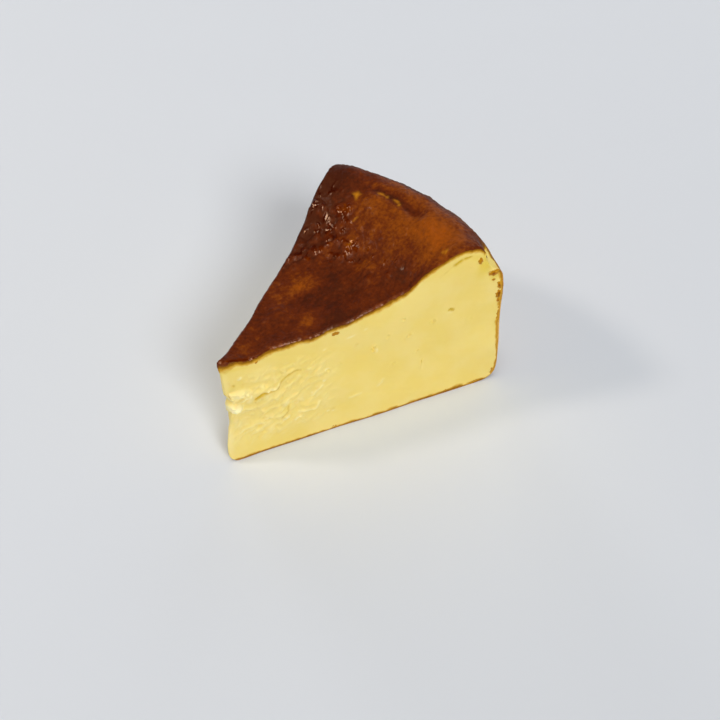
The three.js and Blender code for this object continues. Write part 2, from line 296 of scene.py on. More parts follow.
CRACK_PATH = [
    (11.4, 26.4), (12.5, 27.1), (13.6, 27.9), (14.6, 28.3), (16.3, 28.2), (17.9, 27.9),
    (18.8, 28.5), (20.2, 29.9), (21, 31.3), (21.7, 32.2), (23.4, 32.9), (25.2, 33.9),
    (27.8, 33.7),
]
CRACK_WIDTH, CRACK_FINE_WIDTH = 1.0, 0.4
CRACK_OPEN_SHARE = 0.3
CRACK_DEPTH, CRACK_FINE_DEPTH = 0.6, 0.3
# The paleness given for each ridge is painted light on its top.
RIDGES = [  # path on the front cut, width, height, how pale
    ([(4.9, 12.6), (6.3, 13.8), (8.5, 13.8), (10.7, 14.6), (13.3, 14.6)], 1.2, 0.5, 0.5),
    ([(6.5, 11.6), (9, 12.6), (11, 13.2)], 0.9, 0.35, 0.4),
    ([(10, 11.5), (11.7, 11.6), (13.6, 13)], 0.9, 0.4, 0.5),
    ([(20.1, 13.1), (21, 13.7), (22, 14.1)], 0.9, 0.6, 1),
    ([(24, 11.6), (25, 12.2), (25.8, 12.4)], 0.8, 0.5, 0.9),
    ([(25.5, 14.9), (29, 14), (31.6, 13.8), (33.1, 16.2)], 1, 0.5, 0.6),
    ([(30.7, 20.3), (32.5, 21.6), (34.6, 23.7)], 1, 0.4, 0.6),
    ([(15.3, 29), (16.8, 29.3), (18, 28.9), (19.3, 29), (20.1, 30.2)], 1, 0.7, 0.9),
    ([(2.8, 32.4), (5.6, 31.9), (8.5, 31.8)], 0.8, 0.9, 0.8),
    ([(2.6, 30.6), (4.4, 30.4), (6.6, 30.8), (9.6, 30.2)], 0.7, 0.9, 0.9),
    ([(3.1, 28.2), (6, 27.8), (8.7, 28.6), (10.2, 29.3)], 0.9, 0.9, 0.9),
    ([(13, 19), (16, 20.5), (19, 20.2)], 1.6, 0.5, 0.2),
    ([(12.5, 23), (15.5, 24.6), (19, 25.2), (22, 27)], 1.8, 0.5, 0.2),
    ([(23.5, 21), (26, 24), (28, 28.5)], 1.7, 0.45, 0.2),
    ([(16, 16), (17.5, 17.5), (20, 18.3)], 1.2, 0.45, 0.2),
    ([(44, 13.2), (46, 13.6), (48, 13.4)], 0.8, 0.25, 0.4),
    ([(54.5, 14.5), (55.4, 15.6), (56.5, 17)], 0.8, 0.25, 0.4),
    ([(6.8, 37.8), (7.4, 38.2)], 0.9, 0.4, 0.9),
]
# The darkness given for each groove is painted shade in it, and for the short marks partly an
# olive colour of their own.
GROOVES = [  # path on the front cut, width, depth, how dark
    ([(22.3, 18.8), (21.7, 16.7), (20.7, 15.3), (19.6, 14.2)], 0.45, 0.3, 0.6),
    ([(2.4, 31.4), (3.3, 29.7), (4.7, 29.2), (6.3, 29.7), (8.2, 30.5)], 0.38, 0.9, 0.75),
    ([(3.2, 28.3), (5.4, 27.9), (7.6, 28.8)], 0.35, 0.5, 0.5),
    ([(7.4, 23.1), (8.6, 22.6), (9.6, 21.7)], 0.35, 0.2, 0.35),
    ([(11.4, 24.6), (11.3, 25.4)], 0.35, 0.2, 0.5),
    ([(77.6, 55.9), (81, 57.8), (84.2, 59.6)], 0.35, 0.12, 0.35),
    ([(1.8, 23.9), (3.2, 23.5), (5, 23.7), (6.6, 24.6)], 0.45, 0.6, 0.6),
    ([(4.9, 35.5), (5.2, 35.1)], 0.6, 0.3, 0.7),
    ([(80.8, 40.1), (81.6, 39.8), (82.4, 39.4)], 0.6, 0.2, 1.4),
    ([(82.8, 58.9), (84, 59.5), (85, 60.1)], 0.8, 0.25, 1.3),
    ([(86, 60.6), (87.2, 60.8), (88.2, 60.9)], 0.7, 0.2, 1.2),
]
PITS = [  # place on the front cut, half sizes, depth, slant
    ((53.5, 32.5), (0.65, 1.2), 0.9, 0), ((81.6, 39.8), (0.8, 0.35), 0.5, -0.4),
    ((37, 29.4), (0.7, 0.6), 0.7, 0.5), ((66, 34), (1, 0.7), 0.6, 0.6),
    ((37.5, 10), (0.9, 0.5), 0.6, -0.3), ((75, 37), (0.9, 0.5), 0.6, -0.5),
    ((41.5, 30.5), (0.6, 0.5), 0.5, 0.4), ((64.2, 42.5), (0.7, 0.6), 0.6, 0.2),
    ((58.5, 36.5), (0.9, 0.6), 0.5, 0.9), ((70.5, 19.5), (0.4, 2.4), 0.4, 0.05),
    ((47.5, 37), (0.8, 0.5), 0.5, 0.3), ((69, 25.5), (0.9, 0.5), 0.5, 0.4),
    ((88.5, 33), (0.8, 0.5), 0.4, -0.4), ((60.5, 23), (0.6, 0.8), 0.4, 0.2),
]
REAR_PITS = [  # the same on the rear cut
    ((24, 17.5), (1.1, 0.6), 0.7, 0.4), ((37, 14), (0.7, 0.6), 0.6, 0),
    ((45, 33), (0.9, 0.5), 0.6, -0.5), ((58, 22), (0.6, 1.1), 0.7, 0.1),
    ((63, 41), (0.9, 0.5), 0.5, 0.3), ((72, 12), (0.8, 0.5), 0.5, -0.2),
    ((78, 30), (1, 0.6), 0.6, 0.6), ((31, 37), (0.8, 0.5), 0.5, 0.3),
]
CURL_AT, CURL_SIZE, CURL_SLANT, CURL_HEIGHT = (4.2, 25.6), (2.9, 1.5), -0.15, 1.9
FLAKE_HEIGHT, REAR_FLAKE_HEIGHT = 0.8, 0.6
FLAKE_SLANT = 0.45
REAR_SHIFT = (61, 37)  # from a place on the front cut's pattern of flakes to the rear one's
PORE_DEPTH = 0.35
LINE_SPREAD = 0.6  # of a groove's width


def near_path(a, b, path, reach=4.0):
    """Distance to a smooth path and the share of its length there; far places get 99."""
    share = np.linspace(0, 1, 24 * len(path))
    path_a, path_b = walk_through(path)(share)
    close = ((a > path_a.min() - reach) & (a < path_a.max() + reach)
             & (b > path_b.min() - reach) & (b < path_b.max() + reach))
    distance, nearest = np.full(a.shape, 99.0), np.zeros(a.shape)
    if close.any():
        gap = np.hypot(a[close][:, None] - path_a, b[close][:, None] - path_b)
        best = gap.argmin(axis=1)
        distance[close] = gap.min(axis=1)
        nearest[close] = share[best]
    return distance, nearest


def crack_width(share):
    """Full width of the crack: a short torn wedge that runs out into a fine line."""
    wedge = np.sin(math.pi * np.clip(share / CRACK_OPEN_SHARE, 0, 1)) ** 0.7
    fine = CRACK_FINE_WIDTH * np.minimum(1, 0.3 + 6 * (1 - share))
    return np.maximum(fine, CRACK_WIDTH * wedge * (share < CRACK_OPEN_SHARE))


def jagged(along, height):
    """Places on a cut shifted a little, for ragged edges."""
    return bent(along, height, 0.28, 1.3, (21, 24), 2)


def roughness(along, height):
    """How torn a cut is: most in the middle of the height, towards the tip."""
    return (smoothstep(along, 48, 24) * smoothstep(height, 3, 10)
            * smoothstep(height, 42, 33) * lerp(0.6, 1, smoothstep(along, 2, 10)))


def slanted(along, height):
    """Places along and across the flakes' slant."""
    return turned(along, height + 1.6 * grain(along, height, 6, 8), FLAKE_SLANT)


def creaminess(along, height):
    """How flakes of torn custard stand out, large ones and half as strong small ones."""
    a, b = slanted(along, height)
    small = grain(a / 2, b, 1.1, 18)
    return np.maximum(0, grains(a / 1.7, b, 2.1, 13)) + 0.5 * np.maximum(0, small)


def rear_flakes(along, height):
    """How the rear cut's flakes stand out."""
    shifted = creaminess(along + REAR_SHIFT[0], height + REAR_SHIFT[1])
    return roughness(along, height) * shifted


def knife_marks(along, height, slant, seed):
    """Faint streaks that the knife leaves, up to 1."""
    a, b = turned(along, height, slant)
    return grain(a / 14, b, 0.9, seed)


def pitted(a, b, table):
    """Small pits, each with a raised rim."""
    swell = 0
    for at, size, depth, slant in table:
        off = off_oval(a, b, at, size, slant)
        swell = swell + depth * (0.4 * bell((off - 1.3) / 0.35) - fade(off, 1.15))
    return swell


def front_fine(along, height):
    """Fine relief of the front cut, out of its plane."""
    swell = 0.04 * knife_marks(along, height, -0.3, 3) + 0.05 * grains(along, height, 5, 5)
    flakes = FLAKE_HEIGHT * creaminess(along, height)
    flakes = flakes + 0.2 * grains(*slanted(along, height), 1.2, 15, 2)
    swell = swell + roughness(along, height) * flakes
    a, b = jagged(along, height)
    for path, width, rise, _ in RIDGES:
        distance, share = near_path(a, b, path)
        taper = np.minimum(1, 0.35 + 4 * np.minimum(share, 1 - share))
        swell = swell + rise * bell(distance / (0.55 * width * taper))
    for path, width, depth, _ in GROOVES:
        distance, _ = near_path(a, b, path)
        swell = swell - depth * bell(distance / (LINE_SPREAD * width))
    return swell + pitted(a, b, PITS)


def crack_depth(along, height):
    distance, share = near_path(*jagged(along, height), CRACK_PATH)
    width = crack_width(share)
    depth = lerp(CRACK_DEPTH, CRACK_FINE_DEPTH, smoothstep(share, 0.2, 0.4))
    return depth * smoothstep(distance, 0.5 * width + 0.2, 0.2 * width)


def curl(along, height):
    """A torn lip of custard that lies on the cut at the tip."""
    off = off_oval(*jagged(along, height), CURL_AT, CURL_SIZE, CURL_SLANT)
    return CURL_HEIGHT * smoothstep(off, 1.08, 0.86) * (1 + 0.3 * grain(along, height, 1.1, 29))


def rear_fine(along, height):
    """Fine relief of the rear cut, out of its plane."""
    swell = 0.05 * knife_marks(along, height, 0.25, 43) + 0.06 * grains(along, height, 5, 45)
    swell = swell + REAR_FLAKE_HEIGHT * rear_flakes(along, height)
    swell = swell + pitted(*jagged(along, height), REAR_PITS)
    a, b = turned(*bent(along, height, 2.6, 5, (48, 51)), 0.6)
    pores = grain(a, 1.3 * b, 1.9, 49) * smoothstep(grain(along, height, 13, 50), -0.1, 0.4)
    return swell - PORE_DEPTH * smoothstep(pores, 0.66, 0.85)


WRINKLES = [  # place on the crust, half sizes, slant
    ((68, 22.6), (1.5, 0.9), 0.6), ((66.4, 19.5), (1.9, 0.8), 0.4),
    ((62.2, 18.5), (1.4, 1), -0.3), ((61.2, 12.7), (1.9, 1.1), 0.5),
    ((62.8, 9.4), (1.3, 0.8), 0.9), ((69.2, 13.7), (2.2, 0.8), 0.5),
    ((72.8, 14.6), (1.6, 0.7), 0.2), ((65.8, 3.5), (1.2, 0.8), 0.3),
    ((65.3, -4.9), (1.2, 0.7), 0), ((66.2, -14.2), (1.6, 0.7), -0.7),
    ((66.6, -1.6), (0.9, 0.7), 0), ((63.8, 20.1), (1.2, 0.8), 1.1),
    ((59.6, 22.3), (1.5, 0.9), 0.4), ((65, 25), (1.4, 0.8), 0),
    ((66.5, 10.5), (1.5, 0.7), 0.8), ((70.5, 18), (1.6, 0.7), 0.3),
]
STREAK_HEADING = 0.84
WELT_HEIGHT, FOLD_HEIGHT, WRINKLE_HEIGHT = 0.85, 0.5, 0.6
LEATHER_HEIGHT, STREAK_HEIGHT = 0.2, 0.15
WALL_CREASE_DEPTH, WALL_FOLD_HEIGHT = 0.5, 0.5


def blistered(x, y):
    """How blistered the crust is: most on the far side of the slope up to its ring."""
    slope = fade(np.hypot((x - 63) / 1.15, (y - 16) / 1.2), 16)
    middle = 0.5 * fade(np.hypot((x - 65) / 0.7, (y + 6) / 1.5), 15)
    rear_edge = 0.5 * smoothstep(y - 0.25 * x, 0, 12) * smoothstep(x, 88, 75)
    return np.clip(0.16 + slope + middle + rear_edge, 0, 1)


def wrinkles(x, y):
    """The sharp small wrinkles that catch the light, 0 to 1."""
    x, y = bent(x, y, 0.5, 1.5, (57, 58))
    most = np.zeros(x.shape)
    for at, size, slant in WRINKLES:
        most = np.maximum(most, fade(off_oval(x, y, at, size, slant), 1.3))
    return most


def welts(x, y):
    """Short welts of the blistered skin, drawn out along one heading."""
    along, across = turned(*bent(x, y, 0.9, 3.0, (61, 62)), STREAK_HEADING)
    patchy = smoothstep(grain(x, y, 3.6, 60), -0.3, 0.5)
    return np.maximum(0, grains(along / 1.7, across, 1.5, 66, 2)) * patchy


def folds(x, y):
    """Rounded blisters with narrow valleys between them, from 0 in the valleys to 1."""
    x, y = bent(x, y, 1.2, 4.0, (63, 64))
    return np.minimum(1, 2.4 * np.abs(grain(x, 1.2 * y, 4.2, 65)))


def crust_fine(x, y):
    """Fine relief of the crust: wrinkles, small blisters and a pebbled skin."""
    blisters = WELT_HEIGHT * welts(x, y) + FOLD_HEIGHT * folds(x, y)
    along, across = turned(x, y, STREAK_HEADING)
    streaks = grain(along / 4, across + 0.5 * grain(x, y, 4, 75), 0.9, 76)
    leather = np.abs(grains(x, y, 1.7, 69, 2)) + 0.5 * grain(x, y, 1.0, 72)
    return (blistered(x, y) * blisters + WRINKLE_HEIGHT * wrinkles(x, y)
            + LEATHER_HEIGHT * leather + STREAK_HEIGHT * streaks * smoothstep(x, 40, 55))


def wall_crease(turn, height):
    """Upright creases and folds that baking paper leaves, each up to 1."""
    across = turn + 1.6 * grain(turn, height / 3, 9, 71) + 0.08 * height
    crease = 1 - np.abs(grain(across, height / 7, 8, 73)) * 3.2
    fold = 1 - np.abs(grain(across + 31, height / 9, 11, 74)) * 4
    return crease, fold


def wall_fine(turn, height):
    """Fine relief of the wall: creases, folds and a pebbled skin."""
    crease, fold = wall_crease(turn, height)
    creased = WALL_FOLD_HEIGHT * np.maximum(0, fold) - WALL_CREASE_DEPTH * np.maximum(0, crease)
    return creased + 0.09 * grains(turn, height, 1.6, 76) + 0.12 * grain(turn, height / 3, 3, 77)


FRONT_OUT = np.array([-math.sin(HALF_ANGLE), -math.cos(HALF_ANGLE), 0])
REAR_OUT = np.array([-math.sin(HALF_ANGLE), math.cos(HALF_ANGLE), 0])


def around(plain):
    """Radius, angle and outward direction of each place, and its depth behind both cuts."""
    x, y, _ = plain.T
    angle = np.arctan2(y, x)
    outward = np.stack([np.cos(angle), np.sin(angle), 0 * angle], axis=1)
    depths = (np.maximum(0, -plain @ out) for out in (FRONT_OUT, REAR_OUT))
    return np.hypot(x, y), angle, outward, *depths


def with_relief(plain):
    """The surface with its large relief, and how deep the chip is at each place."""
    x, y, z = plain.T
    radius, angle, outward, front_depth, rear_depth = around(plain)
    clear_of_tip = smoothstep(radius, 0.5, 5)

    under = np.maximum(0, along_crust(np.minimum(1, radius / SHOULDER[0]))[1] - z)
    near_crust = fade(under, 20)
    on_top = near_crust * fade(np.maximum(0, radius - FLAT_BASE_RADIUS), 9)
    drop = REAR_DROP * front_depth / REAR_DEPTH
    near_wall = (fade(CAKE_RADIUS - radius, 14) * smoothstep(z, 0, 6)
                 * smoothstep(front_depth, 0, 12))
    chip = chipped(radius, z, front_depth)

    moved = plain.copy()
    moved[:, 2] += on_top * crust_rise(x, y) - near_crust * drop - chip * math.sqrt(0.5)
    waves = WALL_WAVES * wall_waves(angle * CAKE_RADIUS, z)
    moved += outward * (near_wall * waves - chip * math.sqrt(0.5))[:, None]
    on_front = clear_of_tip * fade(front_depth, 8)
    moved += FRONT_OUT * (on_front * front_swell(radius, z))[:, None]
    on_rear = clear_of_tip * fade(rear_depth, 8)
    moved += REAR_OUT * (on_rear * rear_swell(radius, z))[:, None]
    return moved, chip


# ---------- the closed mesh


class Slice:
    """The slice's vertices and triangles, with the face of the slice that each is on."""

    FRONT, REAR, NOSE, CRUST, WALL, BASE = range(6)

    def __init__(self):
        self.places, self.count = [], 0
        self.triangles, self.sides = [], []

    def add(self, x, y, z):
        x, y, z = np.broadcast_arrays(x, y, z)
        first = self.count
        self.places.append(np.stack([x.ravel(), y.ravel(), z.ravel()], axis=1).astype(float))
        self.count += x.size
        return np.arange(first, self.count).reshape(x.shape)

    def cover(self, triangles, side):
        self.triangles.append(np.asarray(triangles).reshape(-1, 3))
        self.sides.append(np.full(len(self.triangles[-1]), side))

    def cover_grid(self, grid, side):
        a, b = grid[:-1, :-1].ravel(), grid[1:, :-1].ravel()
        c, d = grid[1:, 1:].ravel(), grid[:-1, 1:].ravel()
        self.cover(np.stack([a, b, c, a, c, d], axis=1), side)

    def stitch(self, inner, outer, side):
        """Joins two rows of unequal count, always stepping on the row that is behind."""
        found = []
        a = b = 0
        while a < len(inner) - 1 or b < len(outer) - 1:
            if (b + 1) * (len(inner) - 1) <= (a + 1) * (len(outer) - 1):
                found.append((inner[a], outer[b], outer[b + 1]))
                b += 1
            else:
                found.append((inner[a], outer[b], inner[a + 1]))
                a += 1
        self.cover(found, side)


def build_slice():
    body = Slice()
    u = uneven_shares(RADIUS_STEPS)[:, None]
    w = uneven_shares(HEIGHT_STEPS)[None, :]
    radius, height = cut_places(u, w)
    cos, sin = math.cos(HALF_ANGLE), math.sin(HALF_ANGLE)
    front = body.add(radius * cos, -radius * sin, height)
    rear = body.add(radius * cos, radius * sin, height)
    body.cover_grid(front, body.FRONT)
    body.cover_grid(rear.T, body.REAR)

    # The blunt edge at the tip, between the two cuts.
    turn = np.linspace(-TAU / 4, TAU / 4, STEPS_ROUND_NOSE + 2)[1:-1][:, None]
    setback, nose_height = up_tip(w)
    nose = body.add(setback * (cos - 0.6 * sin * np.cos(turn)), setback * sin * np.sin(turn),
                    nose_height)
    nose = np.vstack([front[0], nose, rear[0]])
    body.cover_grid(nose[::-1], body.NOSE)

    # The crust and the wall, as rows from the front cut to the rear one.
    def row(first, last, row_radius, row_height, step):
        count = max(4, round(2 * HALF_ANGLE * row_radius / step))
        near = np.array(EDGE_SHARES)
        shares = np.concatenate([near, np.arange(1, count), count - near[::-1]]) / count
        angle = lerp(-HALF_ANGLE, HALF_ANGLE, shares)
        middle = body.add(row_radius * np.cos(angle), row_radius * np.sin(angle), row_height)
        return np.concatenate([[first], middle, [last]])

    rows = [nose[:, -1]]
    for i in range(1, len(u)):
        rows.append(row(front[i, -1], rear[i, -1], *along_crust(u[i, 0]), CRUST_STEP))
        body.stitch(rows[-2], rows[-1], body.CRUST)
    for j in range(w.size - 2, -1, -1):
        rows.append(row(front[-1, j], rear[-1, j], *up_wall(w[0, j]), WALL_STEP))
        body.stitch(rows[-2], rows[-1], body.WALL)

    # The flat base: strips across it, and a fan in the round part.
    strips = np.stack([rear[:, 0], front[:, 0]], axis=1)
    body.cover_grid(strips, body.BASE)
    for edge in (nose[::-1, 0], rows[-1]):
        fan = [(edge[0], edge[k + 1], edge[k]) for k in range(1, len(edge) - 1)]
        body.cover(fan, body.BASE)
    return np.vstack(body.places), np.vstack(body.triangles), np.concatenate(body.sides)


# ---------- what each place is made of

CRUST_SKIN, WALL_SKIN, BASE_SKIN = 1.9, 1.1, 1.1
BASE_TONE = 0.68
TONES = [  # place on the crust, half sizes, turn, change of tone
    ((50, 0), (9, 7), 0, 0.3), ((38, -12), (8, 5), -0.4, 0.36),
    ((64, -18), (7, 6), -0.3, 0.14), ((62, 22), (13, 8), 0.35, 0.34),
    ((76, 25), (8, 6), 0.3, 0.24), ((86, 33), (8, 5), 1.2, 0.25),
    ((73, 31), (12, 7), 0.3, 0.25),
    ((66, -4), (5, 5), 0, -0.12), ((18, 0), (8, 5), 0, 0.08),
    ((81, -20), (11, 13), 0.2, -0.56), ((91, 2), (4, 16), 0, -0.3),
    ((77, 7), (9, 10), 0, -0.3), ((33.6, -7.2), (3.8, 3.4), 0, -0.36),
    ((44, 6.8), (5, 3.4), 0, -0.4), ((35, 8), (3.4, 3), 0, -0.1),
    ((65, 4), (2.4, 2.2), 0, -0.2), ((24, -3), (4, 3), 0, -0.1),
    ((57, -12), (4, 3), 0, -0.1), ((12, 0), (5, 3), 0, -0.12),
    ((82, 20), (6, 5), 0, 0.2), ((87, -20), (3.5, 12), 0, 0.18),
    ((81, -6), (6, 5), 0, -0.18), ((41, 0), (4, 3), 0, 0.12),
]
TORN_BITS = [  # small places where the crust is scraped to gold
    ((78.3, 15.4), (1.3, 0.7), 0.6, 1), ((78.6, 15.9), (0.5, 1.2), 0.4, 0.8),
    ((83, 8.4), (0.45, 1.3), 0.1, 1), ((83.4, 6.2), (0.35, 0.8), -0.3, 0.7),
    ((84, 2.4), (0.5, 1.3), -0.1, 0.8), ((83.4, 0.4), (0.7, 0.6), 0.2, 0.9),
    ((76.4, -27.8), (0.9, 0.5), 0.3, 0.9), ((75.8, -26.9), (0.4, 0.6), 0.3, 0.6),
    ((64.9, 5.2), (0.9, 0.3), 0.5, 0.5), ((71.5, 9.6), (0.9, 0.3), -0.5, 0.5),
]
STAINS = [  # place on the front cut, half sizes, slant, strength: amber to 1, then brown
    ((40.5, 44.6), (1.4, 0.6), 0.1, 0.8), ((13.5, 44), (0.5, 0.6), 0, 1),
    ((38, 1.2), (0.7, 0.4), 0, 0.6), ((99.3, 29), (0.5, 3.6), 0, 1.2),
    ((99.2, 17), (0.5, 2.2), 0, 0.9), ((98.3, 3.4), (1.1, 1.6), 0.4, 0.9),
    ((82, 0.9), (3, 0.5), 0, 1.3), ((91, 0.9), (2, 0.5), 0.1, 1.4),
]
CRUMBS = [  # the same for browned crumbs, which stand out of the cut
    ((92.3, 57.7), (0.9, 0.8), -0.5, 1.1), ((97.2, 51), (1.4, 1.5), -0.9, 1.15),
    ((98.8, 52), (1.6, 1), 0.4, 1.1), ((99.5, 44.2), (0.9, 1.5), 0.3, 1.3),
    ((99.2, 40.2), (1, 1.3), 0.2, 1.7), ((99.3, 37.4), (0.6, 0.8), 0, 1.3),
    ((97, 47.5), (0.5, 0.5), 0, 0.9),
]
CRUMB_RISE = 0.45
# Pale bits of custard, partly pale crumbs and partly painted light: the tip's edge, the curl and
# the flakes that face the light are painted lighter.
PALE_AND_LIT_BITS = [  # place on the front cut, half sizes, slant, strength
    ((36.7, 30), (0.6, 0.5), 0, 1), ((35.4, 25.4), (0.6, 0.5), 0, 0.8),
    ((31, 21.5), (0.5, 0.5), 0, 0.6), ((36.5, 39.2), (0.6, 0.4), 0, 0.6),
    ((46, 41.5), (1.4, 0.35), 0.1, 0.6), ((51, 42.5), (0.6, 0.35), 0, 0.5),
    ((54.6, 31.6), (0.4, 1.1), 0, 0.7), ((81.4, 38.8), (1, 0.35), -0.1, 0.5),
    ((35.9, 9.6), (0.5, 0.4), 0, 0.9), ((37.6, 9.2), (0.4, 0.4), 0, 0.8),
    ((4.2, 25.7), (2.7, 1.3), -0.15, 1.35), ((1, 11), (1.6, 7), 0, 0.5),
    ((5.5, 30.3), (4.4, 2.3), 0.1, 0.9), ((1.8, 36.5), (1.6, 5), 0, 0.3),
]
YELLOW_BITS = [  # torn custard of a stronger yellow
    ((94.8, 56), (3, 6), -0.45, 1), ((97.6, 49.6), (2.2, 2.6), 0, 0.8),
    ((90.5, 59.6), (2.4, 1), -0.3, 0.5), ((6, 42.6), (5, 0.7), -0.05, 0.5),
]


def spots(a, b, table):
    """The strongest of the table's soft-edged ovals at each place."""
    most = np.zeros(a.shape)
    for at, size, slant, strength in table:
        off = off_oval(a, b, at, size, slant)
        most = np.maximum(most, strength * np.exp(-0.7 * off ** 3))
    return most


def drawn(a, b, table):
    """The strongest of the table's fine lines at each place."""
    most = np.zeros(a.shape)
    for path, width, _, strength in table:
        distance, _ = near_path(a, b, path)
        most = np.maximum(most, strength * bell(distance / (LINE_SPREAD * width)))
    return most


def crust_tone(x, y):
    """0 where the crust is amber, 1 where it is nearly burnt; it also carries painted shade in the
    crease and between the blisters, and painted light on the blisters' tops.
    """
    places = bent(x, y, 2.2, 8, (81, 85), 3)
    tone = BASE_TONE + 0.12 * grains(x, y, 9, 91, 4) + 0.12 * grains(x, y, 2.6, 96, 2)
    for at, size, slant, change in TONES:
        tone = tone + change * bell(off_oval(*places, at, size, slant))
    radius, angle = np.hypot(x, y), np.arctan2(y, x)
    # Painted shade: darker along the crease.
    tone = tone + 0.4 * bell((radius - CREASE_RADIUS) / 1.3) * crease_window(angle)
    # Painted shade in the valleys between the blisters, and painted light on their tops.
    tone = tone + 0.3 * blistered(x, y) * (0.6 - folds(x, y))
    return tone + 0.25 * smoothstep(radius, 91, 96)


def toasting_and_crease_shade(turn, height, on_base):
    """How pale the baked wall or base is: darker by the crust and by the base, and darker in
    creases as painted shade.
    """
    pale = 0.74 + 0.24 * grains(turn, height / 1.3, 14, 121, 4)
    by_edge = 0.4 * smoothstep(height, 46, 57) + 0.3 * smoothstep(height, 4, 0)
    # Painted shade: darker in the paper's creases.
    creased = 0.08 * np.maximum(0, wall_crease(turn, height)[0])
    return pale - np.where(on_base, 0.1, by_edge + creased)


def skin_depths(radius, z):
    """How many thicknesses of skin a place on a cut is from the crust, the wall and the base."""
    soft = 1 + 0.22 * grains(radius, z, 6, 101) + 0.1 * grain(radius, z, 1.5, 104)
    uneven = 1 + 0.7 * grains(radius, z, 3.0, 106, 2)
    thick = lerp(2.1, 1, smoothstep(radius, 1, 7)) * lerp(1, 0.75, smoothstep(radius, 60, 88))
    low = lerp(0.75, 1.15, smoothstep(radius, 20, 90))
    return ((crust_height(radius) - z) / (CRUST_SKIN * thick * soft),
            (wall_radius(z) - radius) / (WALL_SKIN * uneven), z / (BASE_SKIN * low * uneven))


def bared(plain, side, chip):
    """How far the chip has bared the custard, with a ragged edge."""
    x, y, z = plain.T
    radius = np.hypot(x, y)
    behind = smoothstep(-plain @ FRONT_OUT, 0.3, 2)
    on_crust = smoothstep(radius - lerp(94.1, 99, behind), -0.5, 0.5)
    beside = 1 - behind * smoothstep(z, 56, 57.5)
    bare = chip * np.where(side == Slice.CRUST, on_crust, beside)
    return bare + 0.6 * grains(radius + z, y - z, 2.2, 118) * smoothstep(bare, 0, 0.5)


def front_marks(radius, z):
    """The front cut's stains, its cracks and grooves darkened as painted shade and partly as olive
    marks, and its pale flakes and ridges, partly painted light.
    """
    a, b = jagged(radius, z)
    distance, share = near_path(a, b, CRACK_PATH)
    crack = bell(distance / (0.62 * crack_width(share) + 0.08))
    opened = smoothstep(share, CRACK_OPEN_SHARE + 0.08, CRACK_OPEN_SHARE - 0.05)
    # Painted shade along the grooves and in the crack, darkest in its opened wedge under the lip;
    # partly olive marks.
    dark = np.maximum(drawn(a, b, GROOVES), crack * lerp(0.8, 1.2, opened))
    # Painted light on the ridges and pale bits, and on the flakes where they stand out; partly
    # pale crumbs.
    pale = np.maximum(spots(a, b, PALE_AND_LIT_BITS), drawn(a, b, RIDGES))
    flaky = roughness(radius, z) * (0.07 + 0.5 * creaminess(radius, z))
    return spots(a, b, STAINS + CRUMBS), dark, np.maximum(pale, flaky)


def shine(plain):
    """How glossy the crust is: most on its blisters and wrinkles, and along the cuts."""
    x, y, _ = plain.T
    radius = np.hypot(x, y)
    gloss = blistered(x, y) * (0.2 + smoothstep(welts(x, y), 0.05, 0.25))
    gloss = np.maximum(gloss, 1.2 * wrinkles(x, y)) * smoothstep(radius, 90, 80)
    edge = np.minimum(-plain @ FRONT_OUT, -plain @ REAR_OUT)
    by_edge = 0.5 + 0.25 * grain(x, y, 5, 117)
    by_edge = by_edge * smoothstep(edge, 1.1, 0.5) * smoothstep(radius, 80, 55)
    return np.maximum(gloss, by_edge)


def describe(plain, side, chip):
    """The attributes that the material reads, for each vertex."""
    x, y, z = plain.T
    radius, turn = np.hypot(x, y), np.arctan2(y, x) * CAKE_RADIUS
    on_front = np.isin(side, [Slice.FRONT, Slice.NOSE])
    on_rear, on_crust, on_base = (side == one for one in (Slice.REAR, Slice.CRUST, Slice.BASE))
    on_cut = on_front | on_rear

    to_crust, to_wall, to_base = skin_depths(radius, z)
    skin = np.minimum(np.minimum(to_crust, to_wall), to_base)
    skin = np.where(on_cut, np.clip(skin, 0, 3), 0)
    bare = bared(plain, side, chip)
    skin = np.maximum(skin, np.clip((bare - 0.4) / 0.7, 0, 2.5))

    wall = smoothstep(z + 2.5 * grains(turn, z / 2, 8, 131), 60, 53.5) * smoothstep(radius, 93, 95)
    wall = np.where(on_cut, smoothstep(to_crust - to_wall, -0.5, 0.5), wall)
    wall = np.maximum(wall, smoothstep(z, 3, 1.5))

    torn = np.where(on_crust, spots(*bent(x, y, 0.35, 1.2, (108, 109)), TORN_BITS), 0)
    crumbly = 0.55 + 0.6 * grains(radius + z, y - z, 2.4, 115)
    torn = np.maximum(torn, crumbly * smoothstep(bare, 0.3, 0.8))
    torn = np.where(on_crust | (side == Slice.WALL), torn, 0)
    torn = np.where(on_cut, spots(*jagged(radius, z), YELLOW_BITS), torn)

    stain, dark, pale = (on_front * mark for mark in front_marks(radius, z))
    return {
        "skin": skin, "tone": crust_tone(x, y), "wall": wall, "torn": torn, "stain": stain,
        # Painted light on the rear cut's flakes where they stand out.
        "dark": dark, "pale": pale + 0.4 * on_rear * rear_flakes(radius, z),
        "gloss": shine(plain),
        "pale_toast_and_crease_shade": toasting_and_crease_shade(np.where(on_base, x, turn), np.where(on_base, 2 * y, z), on_base),
    }


# ---------- finished surface

